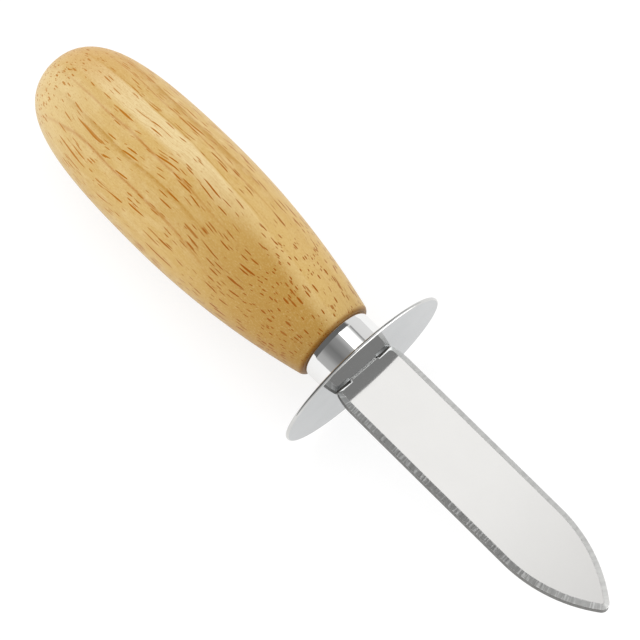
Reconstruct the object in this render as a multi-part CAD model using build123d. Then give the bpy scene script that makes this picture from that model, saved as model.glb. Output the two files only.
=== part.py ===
from build123d import *

import os
from math import atan2, cos, hypot, sin, sqrt

# Oyster knife: a turned wooden handle, a drawn steel ferrule, an oval guard and a pointed blade whose blunt edge is
# bevelled on both sides. Lengths are in millimetres.
#
# The pieces are laid out on the knife's own axis. There x is measured from the front face of the guard, positive
# towards the tip, and the flat of the blade lies across z. One shift then moves every piece, so that the knife
# lies on the plane z = 0 with the origin under the middle of its length: +X points to the tip and +Z upwards.

# Blade, from the front face of the guard to the tip
blade_reach = 69.0
blade_width = 16.4
blade_thickness = 2.4
bevel_width = 1.1
bevel_depth = 0.4
shoulder_gap = 0.25
root_narrowing = 0.75
root_flare_length = 4.5
tip_side_radius = 33.0
tip_nose_radius = 1.5

# Tang, one piece with the blade and a little thinner than its flats
tang_width = 7.3
tang_thickness = 2.2
tang_length = 36.0
tang_end_radius = 2.4

# Guard, as high as the handle is thick, so that the knife lies level on a table. Its oval has a short flat, about
# a tenth of a millimetre deep, in the middle of each long side, on which the knife lies still.
guard_width = 42.0
guard_thickness = 0.8
guard_flat_length = 5.0
guard_rim_radius = 0.25

# Slot for the tang, through the guard and the closed end of the ferrule
slot_clearance = 0.1
slot_corner_radius = 2 * slot_clearance

# Ferrule, a drawn cup with a slight draft
ferrule_length = 7.5
ferrule_back_diameter = 16.8
ferrule_front_diameter = 16.4
ferrule_wall = 0.6
ferrule_inside_radius = 0.3
ferrule_lip_radius = 0.4

# Handle, from its joint with the ferrule to its butt
handle_length = 83.0
handle_diameter = 29.2
belly_setback = 43.5
neck_step = 0.8
neck_edge_radius = 1.1
tenon_clearance = 0.05

# How full the curve of the handle is at the butt, of its half thickness, and behind the belly, of its length there
butt_fullness_share = 0.84
rear_fullness_share = 0.66

# Hole drilled for the tang, with the cone that a drill leaves
bore_clearance = 0.16
bore_end_clearance = 2.0
drill_cone_depth = 2.4

# Places along the axis
guard_back_x = -guard_thickness
tenon_end_x = guard_back_x - ferrule_wall
joint_x = guard_back_x - ferrule_length
belly_x = joint_x - belly_setback
butt_x = joint_x - handle_length
tang_end_x = -tang_length
bore_end_x = tang_end_x - bore_end_clearance

# Half thicknesses of what is round
belly_radius = handle_diameter / 2
ferrule_back_radius = ferrule_back_diameter / 2
ferrule_front_radius = ferrule_front_diameter / 2
neck_radius = ferrule_back_radius + neck_step
bore_radius = hypot(tang_width, tang_thickness) / 2 + bore_clearance

# The knife lies on the belly of the handle and the lower rim of the guard
knife_length = blade_reach - butt_x
to_table = Pos(knife_length / 2 - blade_reach, 0, belly_radius)


def corner_nearest(face, x, y):
    """The corner of a flat outline that lies nearest to a point."""
    return face.vertices().sort_by_distance((x, y, 0))[0]


def tang_slot(depth_x):
    """The slot for the tang, from the front face of the guard back to depth_x."""
    slot_width = tang_width + 2 * slot_clearance
    slot_height = tang_thickness + 2 * slot_clearance
    return extrude(Plane.YZ * RectangleRounded(slot_width, slot_height, slot_corner_radius), depth_x)


def bore_space():
    """The drilled hole: a straight bore from the end of the tenon, closed by the cone of the drill."""
    outline = Polyline(
        (tenon_end_x, 0),
        (tenon_end_x, bore_radius),
        (bore_end_x, bore_radius),
        (bore_end_x - drill_cone_depth, 0),
        close=True,
    )
    return revolve(make_face(outline), axis=Axis.X)


def handle_outline():
    """Half the handle's outline: the round butt up to the belly, one arc on to the neck, then the tenon."""
    butt = (butt_x, 0)
    belly = (belly_x, belly_radius)
    neck = (joint_x, neck_radius)
    above_butt = (butt_x, butt_fullness_share * belly_radius)
    behind_belly = (belly_x - rear_fullness_share * (belly_x - butt_x), belly_radius)
    tenon_back = (joint_x, ferrule_back_radius - ferrule_wall - tenon_clearance)
    tenon_end = (tenon_end_x, ferrule_front_radius - ferrule_wall - tenon_clearance)
    return (
        Bezier(butt, above_butt, behind_belly, belly)
        + TangentArc(belly, neck, tangent=(1, 0))
        + Polyline(neck, tenon_back, tenon_end, (tenon_end_x, 0), butt)
    )


def make_handle():
    """The turned handle with its tenon, drilled for the tang."""
    face = make_face(handle_outline())
    face = fillet(corner_nearest(face, joint_x, neck_radius), neck_edge_radius)
    face = chamfer(corner_nearest(face, tenon_end_x, ferrule_front_radius), ferrule_inside_radius)
    return revolve(face, axis=Axis.X) - bore_space()


def make_ferrule():
    """The drawn cup: it narrows a little towards its closed end, which has a round corner inside and out."""
    inside_corner = (tenon_end_x, ferrule_front_radius - ferrule_wall)
    outline = Polyline(
        (guard_back_x, 0),
        (guard_back_x, ferrule_front_radius),
        (joint_x, ferrule_back_radius),
        (joint_x, ferrule_back_radius - ferrule_wall),
        inside_corner,
        (tenon_end_x, 0),
        close=True,
    )
    face = make_face(outline)
    face = fillet(corner_nearest(face, guard_back_x, ferrule_front_radius), ferrule_inside_radius + ferrule_wall)
    face = fillet(corner_nearest(face, *inside_corner), ferrule_inside_radius)
    face = fillet(corner_nearest(face, joint_x, ferrule_back_radius), ferrule_lip_radius)
    return revolve(face, axis=Axis.X) - tang_slot(tenon_end_x)


def make_guard():
    """The oval plate with its two flats and its tumbled rim."""
    oval_half_height = belly_radius / sqrt(1 - (guard_flat_length / guard_width) ** 2)
    oval = Ellipse(guard_width / 2, oval_half_height) & Rectangle(guard_width, handle_diameter)
    plate = extrude(Plane.YZ * oval, guard_back_x)
    rims = plate.faces().filter_by(Axis.X).edges()
    return fillet(rims, guard_rim_radius) - tang_slot(guard_back_x)


def blade_outline():
    """The blade's outline: straight sides that flare out of the shoulders and close on a small round nose."""
    half = blade_width / 2
    root_half = half - root_narrowing

    # The long arcs of the tip are tangent to the sides and to the nose, so they fix where the tip starts
    side_drop = tip_side_radius - half
    nose_x = blade_reach - tip_nose_radius
    tip_start_x = nose_x - sqrt((tip_side_radius - tip_nose_radius) ** 2 - side_drop**2)
    nose_turn = atan2(side_drop, nose_x - tip_start_x)
    nose_end_x = nose_x + tip_nose_radius * cos(nose_turn)
    nose_end_y = tip_nose_radius * sin(nose_turn)

    root = (shoulder_gap, root_half)
    side_start = (shoulder_gap + root_flare_length, half)
    tip_start = (tip_start_x, half)
    one_side = (
        TangentArc(side_start, root, tangent=(-1, 0))
        + Line(side_start, tip_start)
        + TangentArc(tip_start, (nose_end_x, nose_end_y), tangent=(1, 0))
    )
    nose = ThreePointArc((nose_end_x, nose_end_y), (blade_reach, 0), (nose_end_x, -nose_end_y))
    shoulders = Line(root, (shoulder_gap, -root_half))
    return one_side + nose + mirror(one_side, Plane.XZ) + shoulders


def bevelled(plate, face_order):
    """The plate with the bevel ground on one of its two flats, everywhere but along the shoulders."""
    flat = plate.faces().sort_by(Axis.Z)[face_order]
    ground_edges = flat.edges().sort_by(Axis.X)[1:]
    return chamfer(ground_edges, bevel_width, bevel_depth, reference=flat)


def make_blade():
    """The blade and its tang, cut from one plate."""
    plate = extrude(make_face(blade_outline()), blade_thickness / 2, both=True)
    plate = bevelled(plate, -1)
    plate = bevelled(plate, 0)
    tang_run = tang_length + shoulder_gap + bevel_width
    tang = Pos(tang_end_x + tang_run / 2, 0, 0) * Box(tang_run, tang_width, tang_thickness)
    end_corners = tang.edges().filter_by(Axis.Z).group_by(Axis.X)[0]
    return plate + fillet(end_corners, tang_end_radius)


def make_tang_bond(blade):
    """The cured adhesive: all of the drilled hole that the tang leaves."""
    return bore_space() - blade


blade = make_blade()
pieces = {
    "handle": make_handle(),
    "ferrule": make_ferrule(),
    "guard": make_guard(),
    "blade": blade,
    "tang_bond": make_tang_bond(blade),
}

os.makedirs("parts", exist_ok=True)
for name, piece in pieces.items():
    export_step(to_table * piece, f"parts/{name}.step")
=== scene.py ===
"""An oyster knife on a pale table: turned wooden handle, drawn ferrule, oval guard and bevelled blade.

The pieces are laid out on the knife's own axis. There x is measured from the front face of the guard,
positive towards the tip, and y runs across the flat of the blade. A Seat then moves every point to its
place in the frame.
"""

import logging
from dataclasses import dataclass, field
from enum import Enum
from functools import reduce
from math import atan2, cos, pi, radians, sin, sqrt

import bpy
import numpy as np
from bpy.types import ID, Material, Node, NodeSocket, Object
from mathutils import Matrix, Vector

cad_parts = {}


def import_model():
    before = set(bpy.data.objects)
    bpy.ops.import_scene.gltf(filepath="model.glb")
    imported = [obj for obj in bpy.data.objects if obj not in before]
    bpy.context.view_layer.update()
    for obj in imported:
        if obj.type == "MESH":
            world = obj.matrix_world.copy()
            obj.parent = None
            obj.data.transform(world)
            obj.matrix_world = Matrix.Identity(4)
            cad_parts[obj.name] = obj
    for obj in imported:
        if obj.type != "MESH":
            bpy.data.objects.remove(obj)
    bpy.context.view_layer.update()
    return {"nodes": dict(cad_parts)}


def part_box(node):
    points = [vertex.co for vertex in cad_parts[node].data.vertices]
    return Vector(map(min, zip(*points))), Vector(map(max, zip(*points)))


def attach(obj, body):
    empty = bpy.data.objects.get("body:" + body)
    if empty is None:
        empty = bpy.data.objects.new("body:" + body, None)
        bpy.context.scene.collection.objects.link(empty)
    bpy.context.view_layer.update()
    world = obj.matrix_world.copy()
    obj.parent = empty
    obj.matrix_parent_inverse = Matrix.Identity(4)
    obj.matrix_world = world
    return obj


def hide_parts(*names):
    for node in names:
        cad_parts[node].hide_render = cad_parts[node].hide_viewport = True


# Lengths are in metres, and two points of a curve that lie nearer than SAME_POINT are one
MM = 0.001
SAME_POINT = 1e-9
EDGE_STRIP = "EdgeStrip"
LOG = logging.getLogger("oyster_knife")

Pair = tuple[float, float]
Triple = tuple[float, float, float]
Color = tuple[float, float, float, float]
Range = tuple[float, ...]


# Outlines


@dataclass(frozen=True)
class Outline:
    """A flat curve: its points, and the unit normals there that point out of the solid, as rows of two."""

    points: np.ndarray
    normals: np.ndarray

    def mirrored(self) -> "Outline":
        """The same curve on the other side of the first axis, walked the other way."""
        flip = np.array([1.0, -1.0])
        return Outline(self.points[::-1] * flip, self.normals[::-1] * flip)

    def inset(self, depth: float) -> np.ndarray:
        """The points moved inwards, each against its own normal."""
        return self.points - depth * self.normals


def arc(centre: Pair, radius: float, start: float, end: float, steps: int) -> Outline:
    """A round stretch: the centre plus the radius times the cosine and sine of an angle.

    Args:
        centre: Middle of the circle.
        radius: Its radius.
        start: Angle of the first point, in radians.
        end: Angle of the last point, in radians.
        steps: Number of equal steps between them.

    Returns:
        The stretch, with normals that point away from the centre.
    """
    angle = np.linspace(start, end, steps + 1)
    normals = np.column_stack([np.cos(angle), np.sin(angle)])
    return Outline(np.array(centre) + radius * normals, normals)


def straight(start: Pair, end: Pair, steps: int) -> Outline:
    """A straight stretch: the start plus equal shares of the way to the end.

    Args:
        start: First point.
        end: Last point.
        steps: Number of equal steps.

    Returns:
        The stretch, with the normal on the right of the way that it runs.
    """
    first, last = np.array(start, float), np.array(end, float)
    way = (last - first) / np.linalg.norm(last - first)
    share = np.linspace(0.0, 1.0, steps + 1)[:, None]
    normals = np.tile([way[1], -way[0]], (steps + 1, 1))
    return Outline(first + share * (last - first), normals)


def joined(*stretches: Outline) -> Outline:
    """Stretches end to end as one curve, without the points that two of them share.

    Args:
        stretches: Curves in the order in which they follow each other.

    Returns:
        The whole curve.
    """
    points = np.vstack([s.points for s in stretches])
    normals = np.vstack([s.normals for s in stretches])
    fresh = np.ones(len(points), bool)
    fresh[1:] = np.linalg.norm(np.diff(points, axis=0), axis=1) > SAME_POINT
    return Outline(points[fresh], normals[fresh])


def rounded(corners: list[Pair], radii: list[float], steps: int) -> Outline:
    """An open polyline with round corners: each inner corner becomes an arc that touches both of its sides.

    The arc starts where its centre, one radius away from both sides, is square to the first side. Its normal
    turns evenly from that of the first side to that of the second.

    Args:
        corners: All corners, with the solid on the left of the way round.
        radii: One radius for each corner but the first and the last.
        steps: Number of steps in each arc.

    Returns:
        The rounded polyline.
    """
    spots = np.array(corners, float)
    ways = np.diff(spots, axis=0)
    ways /= np.linalg.norm(ways, axis=1)[:, None]
    stretches = []
    for corner, before, after, radius in zip(spots[1:-1], ways[:-1], ways[1:], radii):
        turn = atan2(before[0] * after[1] - before[1] * after[0], before @ after)
        side = np.sign(turn)
        square = np.array([before[1], -before[0]])
        centre = corner - before * radius * abs(np.tan(turn / 2)) - side * square * radius
        angle = atan2(square[1], square[0]) + np.linspace(0.0, turn, steps + 1)
        normals = np.column_stack([np.cos(angle), np.sin(angle)])
        stretches.append(Outline(centre + side * radius * normals, normals))
    normals_at_ends = np.column_stack([ways[[0, -1], 1], -ways[[0, -1], 0]])
    first = Outline(spots[:1], normals_at_ends[:1])
    last = Outline(spots[-1:], normals_at_ends[1:])
    return joined(first, *stretches, last)


def touching_corner(circle: Triple, wall: float, radius: float, side: int) -> tuple[Pair, float]:
    """The small circle inside a large one that touches both it and a wall square to the first axis.

    Its centre is one small radius from the wall and, because it touches from inside, the difference of the
    two radii from the large circle's centre.

    Args:
        circle: Centre and radius of the large circle.
        wall: Place of the wall on the first axis.
        radius: Radius of the small circle.
        side: 1 where the wall is at the far end of the axis, -1 where it is at the near end.

    Returns:
        The small circle's centre, and the angle at which the two circles touch.
    """
    across = wall - side * radius - circle[0]
    rise = sqrt((circle[2] - radius) ** 2 - across**2)
    return (circle[0] + across, circle[1] + rise), atan2(rise, across)


def arc_radius(run: float, drop: float) -> float:
    """The radius of an arc that starts level and drops this much over that run."""
    return (run**2 + drop**2) / (2 * drop)


# Surfaces


@dataclass
class Skin:
    """A closed surface as arrays: corner places, their normals, faces, and what each face wears.

    Attributes:
        points: One row of three numbers for each corner.
        normals: The unit normal there.
        faces: Lists of corner numbers, anticlockwise from outside.
        finish: For each face, the number of its finish.
        strip: For each corner of each face, its place along and across an edge, where a finish reads it.
    """

    points: np.ndarray
    normals: np.ndarray
    faces: list[list[int]]
    finish: np.ndarray
    strip: np.ndarray | None = None

    def with_other(self, other: "Skin") -> "Skin":
        """Both surfaces as one.

        Args:
            other: The other surface.

        Returns:
            The surface of both.
        """
        moved = [[corner + len(self.points) for corner in face] for face in other.faces]
        return Skin(
            np.vstack([self.points, other.points]),
            np.vstack([self.normals, other.normals]),
            self.faces + moved,
            np.concatenate([self.finish, other.finish]),
            np.vstack([self.strip, other.strip]),
        )


def grid_faces(rows: int, columns: int, wrap_rows: bool) -> tuple[np.ndarray, np.ndarray, np.ndarray]:
    """The four-sided faces of a grid whose columns close into a ring.

    Args:
        rows: Number of rows of corners.
        columns: Number of corners in a row.
        wrap_rows: True where the last row joins the first.

    Returns:
        The faces, and the row and the column of each corner of each, counted past the seam without a jump.
    """
    spans = rows if wrap_rows else rows - 1
    row, column = (a.ravel() for a in np.meshgrid(np.arange(spans), np.arange(columns), indexing="ij"))
    corner_rows = np.column_stack([row, row, row + 1, row + 1])
    corner_columns = np.column_stack([column, column + 1, column + 1, column])
    faces = (corner_rows % rows) * columns + corner_columns % columns
    return faces, corner_rows, corner_columns


def run_lengths(points: np.ndarray) -> np.ndarray:
    """How far each point lies from the first, along the way through all of them."""
    return np.concatenate([[0.0], np.cumsum(np.linalg.norm(np.diff(points, axis=0), axis=1))])


def turned(profile: Outline, steps: int) -> Skin:
    """A solid of revolution about x: each point of the profile runs round a circle.

    The place at an angle is x, the radius times the cosine, and the radius times the sine. The normal turns
    with it. The first and the last point lie on the axis, and each is one corner that closes the surface.

    Args:
        profile: Half the section from pole to pole, as x and radius, with the solid on its right.
        steps: Number of steps round the axis.

    Returns:
        The closed surface.
    """
    angle = np.linspace(0.0, 2 * pi, steps, endpoint=False)
    ring = np.column_stack([np.cos(angle), np.sin(angle)])

    def spun(pairs: np.ndarray) -> np.ndarray:
        """Pairs of x and radius, turned about x."""
        x = np.repeat(pairs[:, 0], steps)
        return np.column_stack([x, (pairs[:, 1][:, None, None] * ring).reshape(-1, 2)])

    inner, inner_normals = profile.points[1:-1], profile.normals[1:-1]
    rows = len(inner)
    poles = np.array([[profile.points[0, 0], 0.0, 0.0], [profile.points[-1, 0], 0.0, 0.0]])
    facing = np.sign(profile.normals[[0, -1], 0])
    pole_normals = np.column_stack([facing, [0.0, 0.0], [0.0, 0.0]])
    quads = grid_faces(rows, steps, wrap_rows=False)[0]
    around = np.arange(steps)
    first_pole = np.full(steps, rows * steps)
    ahead = (around + 1) % steps
    last_row = (rows - 1) * steps
    first_fan = np.column_stack([first_pole, ahead, around])
    last_fan = np.column_stack([first_pole + 1, last_row + around, last_row + ahead])
    return Skin(
        np.vstack([spun(inner), poles]),
        np.vstack([spun(inner_normals), pole_normals]),
        quads.tolist() + first_fan.tolist() + last_fan.tolist(),
        np.zeros(len(quads) + 2 * steps, int),
    )


def with_hole_rows(rows: Outline) -> Outline:
    """A section with its first and its last row doubled, for the two rims of a hole."""
    order = np.concatenate([[0], np.arange(len(rows.points)), [-1]])
    return Outline(rows.points[order], rows.normals[order])


def pierced(edge: Outline, hole: Outline, section: Outline) -> Skin:
    """A plate or cup round a hole: its section is carried once round the edge and closes through the hole.

    A point of the section is x and a depth, and its place is the edge point moved inwards by that depth. The
    first and the last point lie on the hole instead, with the normals of the faces that they end.

    Args:
        edge: Closed outline across the axis, as y and z.
        hole: Outline of the hole, with a point for each point of the edge.
        section: The rows from the front rim of the hole, over the outside, to its back rim. Its normals point
            into the solid, because depth is counted inwards.

    Returns:
        The closed surface.
    """
    count = len(edge.points)
    across = np.array([edge.inset(depth) for depth in section.points[:, 1]])
    across[0] = across[-1] = hole.points
    x = np.repeat(section.points[:, 0], count)
    outward = section.normals[:, 1][:, None, None] * edge.normals
    normals = np.column_stack([np.repeat(-section.normals[:, 0], count), outward.reshape(-1, 2)])
    faces = grid_faces(len(section.points), count, wrap_rows=True)[0][:, ::-1]
    places = np.column_stack([x, across.reshape(-1, 2)])
    return Skin(places, normals, faces.tolist(), np.zeros(len(faces), int))


@dataclass(frozen=True)
class EdgeSection:
    """How the edge of a blank is worked: a bevel from each level face and an upright land between them."""

    half_thickness: float
    face_corner_radius: float
    land_corner_radius: float

    def at(self, width: float, depth: float) -> Outline:
        """The section from the upper face to the lower one, as inset and height.

        Args:
            width: Bevel width here.
            depth: Bevel depth here.

        Returns:
            The section, with the solid on its left.
        """
        top = self.half_thickness
        land = top - depth
        margin = width + 2 * self.face_corner_radius * np.tan(atan2(depth, width) / 2)
        corners = [(margin, top), (width, top), (0.0, land), (0.0, -land), (width, -top), (margin, -top)]
        radii = [self.face_corner_radius, self.land_corner_radius]
        return rounded(corners, radii + radii[::-1], steps=4)


def slab(
    edge: Outline, face: np.ndarray, depth: np.ndarray, section: EdgeSection, ground: np.ndarray
) -> Skin:
    """A flat blank with a worked edge: two level faces, and the edge's section carried round the outline.

    A row's place is the outline plus a share of the way to the outline of the level face, at the blank's half
    thickness less a share of the local bevel depth.

    Args:
        edge: Closed outline as x and y, anticlockwise.
        face: Outline of the level face, with a point for each point of the edge.
        depth: Bevel depth at each of these points.
        section: How the edge is worked.
        ground: For each point of the outline, whether the edge was ground there.

    Returns:
        The closed surface. On the ground stretches the bevels wear finish 1, and the land between them, where
        the edge hardly faces up or down, wears finish 2. All the rest wears finish 0.
    """
    count = len(edge.points)
    way = face - edge.points
    width = np.linalg.norm(way, axis=1)
    rows = [section.at(w, d) for w, d in zip(width, depth)]
    places = np.array([row.points for row in rows]).transpose(1, 0, 2)
    facing = np.array([row.normals for row in rows]).transpose(1, 0, 2)
    plan = edge.points + places[..., :1] / width[:, None] * way
    points = np.dstack([plan, places[..., 1]]).reshape(-1, 3)
    normals = np.dstack([-facing[..., :1] * edge.normals, facing[..., 1]]).reshape(-1, 3)

    bands = len(places) - 1
    grid = grid_faces(bands + 1, count, wrap_rows=False)
    faces, corner_rows, corner_columns = (part[:, ::-1] for part in grid)
    along = run_lengths(np.vstack([edge.points, edge.points[:1]]))
    across = run_lengths(rows[count // 2].points)
    strip = np.column_stack([along[corner_columns.ravel()], across[corner_rows.ravel()]])
    upright = np.abs(facing[:-1, :, 1] + facing[1:, :, 1]) < 1.0
    worked = np.where(ground, 1 + upright, 0).ravel()
    top = np.arange(count)
    bottom = bands * count + top[::-1]
    return Skin(
        points,
        normals,
        faces.tolist() + [top.tolist(), bottom.tolist()],
        np.concatenate([worked, [0, 0]]),
        np.vstack([strip, np.zeros((2 * count, 2))]),
    )


@dataclass(frozen=True)
class Seat:
    """Where the knife's own axis lies in the frame: the guard's front face and the height of the axis."""

    guard_front: float
    axis_height: float

    def placed(self, points: np.ndarray) -> np.ndarray:
        """Points on the knife's own axis, moved to the frame."""
        return points + np.array([self.guard_front, 0.0, self.axis_height])


def make_piece(name: str, skin: Skin, seat: Seat, finishes: list[Material]) -> Object:
    """Puts a surface into a mesh with exact normals and hangs it on the knife's body.

    Args:
        name: Name of the new piece.
        skin: The closed surface.
        seat: Where the knife lies.
        finishes: Materials in the order of the surface's finish numbers.

    Returns:
        The new object.
    """
    mesh = bpy.data.meshes.new(name)
    mesh.from_pydata(seat.placed(skin.points).tolist(), [], skin.faces)
    mesh.polygons.foreach_set("material_index", skin.finish.astype(np.int32))
    mesh.polygons.foreach_set("use_smooth", np.ones(len(skin.faces), bool))
    if skin.strip is not None:
        edge_map = mesh.uv_layers.new(name=EDGE_STRIP)
        edge_map.data.foreach_set("uv", skin.strip.astype(np.float32).ravel())
    for finish in finishes:
        mesh.materials.append(finish)
    mesh.normals_split_custom_set_from_vertices(skin.normals.tolist())
    mesh.validate()
    piece = bpy.data.objects.new(name, mesh)
    bpy.context.scene.collection.objects.link(piece)
    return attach(piece, "root")


# Finishes


class Channel(Enum):
    """Sockets of the surface shader that the finishes drive."""

    COLOR = "Base Color"
    ROUGHNESS = "Roughness"
    NORMAL = "Normal"


class Bench:
    """Lays out the shader nodes of one material, or of the room."""

    def __init__(self, owner: ID) -> None:
        """Starts on a new material or world.

        Args:
            owner: The material or world.
        """
        owner.use_nodes = True
        self.owner = owner
        self.tree = owner.node_tree

    @classmethod
    def for_material(cls, name: str) -> "Bench":
        """A bench for a new material."""
        return cls(bpy.data.materials.new(name))

    def standing(self, name: str) -> Node:
        """A node that the material or world came with."""
        return self.tree.nodes[name]

    def node(self, kind: str, inputs: dict | None = None, **settings: object) -> Node:
        """Adds a node.

        Args:
            kind: Blender's name of the node type.
            inputs: Values or sockets for its inputs, by name or number.
            settings: Its other properties.

        Returns:
            The new node.
        """
        made = self.tree.nodes.new(kind)
        for key, value in settings.items():
            setattr(made, key, value)
        for key, value in (inputs or {}).items():
            self.feed(made.inputs[key], value)
        return made

    def feed(self, socket: NodeSocket, value: object) -> None:
        """Links a socket to another one, or sets its value.

        Args:
            socket: The input.
            value: The other socket, or the value.
        """
        if isinstance(value, NodeSocket):
            self.tree.links.new(value, socket)
        else:
            socket.default_value = value

    def math(self, operation: str, *values: object) -> NodeSocket:
        """The result of one arithmetic step."""
        return self.node("ShaderNodeMath", dict(enumerate(values)), operation=operation).outputs[0]

    def times(self, *factors: object) -> NodeSocket:
        """The product of several values."""
        return reduce(lambda product, factor: self.math("MULTIPLY", product, factor), factors)

    def apart(self, value: object, other: object) -> NodeSocket:
        """How far two values lie apart."""
        return self.math("ABSOLUTE", self.math("SUBTRACT", value, other))

    def band(
        self, value: object, low: float, high: float, at_low: float = 0.0, at_high: float = 1.0
    ) -> NodeSocket:
        """A value eased from one range into another and held at its ends."""
        inputs = {"Value": value, "From Min": low, "From Max": high, "To Min": at_low, "To Max": at_high}
        return self.node("ShaderNodeMapRange", inputs, interpolation_type="SMOOTHSTEP").outputs[0]

    def share(self, value: object, low: float, high: float) -> NodeSocket:
        """How far a value lies on the way from low to high, from 0 to 1."""
        inputs = {"Value": value, "From Min": low, "From Max": high}
        return self.node("ShaderNodeMapRange", inputs).outputs[0]

    def scaled(self, place: object, scale: Triple) -> NodeSocket:
        """A place stretched along its three axes."""
        return self.node("ShaderNodeVectorMath", {0: place, 1: scale}, operation="MULTIPLY").outputs[0]

    def noise(self, place: object, scale: Triple, detail: float = 2.0) -> NodeSocket:
        """Soft noise at a place, stretched along its three axes, from 0 to 1."""
        inputs = {"Vector": self.scaled(place, scale), "Scale": 1.0, "Detail": detail, "Roughness": 0.55}
        return self.node("ShaderNodeTexNoise", inputs).outputs[0]

    def blend(self, share: object, first: object, second: object) -> NodeSocket:
        """Two colours mixed.

        Args:
            share: How much of the second there is, from 0 to 1.
            first: The first colour.
            second: The second colour.

        Returns:
            The mixture.
        """
        mix = self.node("ShaderNodeMix", data_type="RGBA")
        for number, value in zip((0, 6, 7), (share, first, second)):
            self.feed(mix.inputs[number], value)
        return mix.outputs[2]

    def ramp(self, share: object, stops: list[tuple[float, Color]]) -> NodeSocket:
        """The colour at a share of the way along a row of stops, mixed between the nearest two.

        Args:
            share: The place, from 0 to 1.
            stops: Place and colour of each stop in order. The first is at 0 and the last at 1.

        Returns:
            The colour.
        """
        made = self.node("ShaderNodeValToRGB", {0: share})
        elements = made.color_ramp.elements
        elements[0].color, elements[1].color = stops[0][1], stops[-1][1]
        for place, color in stops[1:-1]:
            elements.new(place).color = color
        return made.outputs[0]

    def millimetres(self, seat: Seat) -> NodeSocket:
        """The place on the surface, in millimetres from the guard's front face on the knife's own axis.

        Args:
            seat: Where the knife lies.

        Returns:
            The place.
        """
        source = self.node("ShaderNodeTexCoord").outputs["Object"]
        shift = (-seat.guard_front / MM, 0.0, -seat.axis_height / MM)
        inputs = {"Vector": source, "Location": shift, "Scale": (1 / MM, 1 / MM, 1 / MM)}
        return self.node("ShaderNodeMapping", inputs).outputs[0]

    def axes(self, place: object) -> list[NodeSocket]:
        """The three numbers of a place."""
        return list(self.node("ShaderNodeSeparateXYZ", {0: place}).outputs)

    def drive(self, channel: Channel, value: object) -> None:
        """Gives the surface shader one of its varying inputs."""
        self.feed(self.standing("Principled BSDF").inputs[channel.value], value)

    def hold(self, **levels: float) -> None:
        """Sets what is the same all over on the surface shader itself.

        Args:
            levels: The values, by the names of their sockets in small letters.
        """
        for name, level in levels.items():
            socket = name.replace("_", " ").title().replace("Ior", "IOR")
            self.standing("Principled BSDF").inputs[socket].default_value = level

    def relief(self, height: object, depth: float, strength: float = 1.0) -> None:
        """Turns a height from 0 to 1 into relief of the given depth in metres."""
        inputs = {"Height": height, "Distance": depth, "Strength": strength}
        self.drive(Channel.NORMAL, self.node("ShaderNodeBump", inputs).outputs[0])


def tone(red: int, green: int, blue: int) -> Color:
    """A display colour, turned into the shader's linear scale.

    Args:
        red: Red, from 0 to 255.
        green: Green, likewise.
        blue: Blue, likewise.

    Returns:
        The linear colour with an alpha of 1.
    """
    share = np.array([red, green, blue]) / 255
    linear = np.where(share <= 0.04045, share / 12.92, ((share + 0.055) / 1.055) ** 2.4)
    return (*linear.tolist(), 1.0)


def grey(level: float) -> Color:
    """A grey of this level on the shader's linear scale."""
    return (level, level, level, 1.0)


@dataclass(frozen=True)
class PoreCells:
    """Cells with a pore in some of them: their width and length in millimetres, and the part that has one."""

    width: float
    length: float
    part: float


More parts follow.
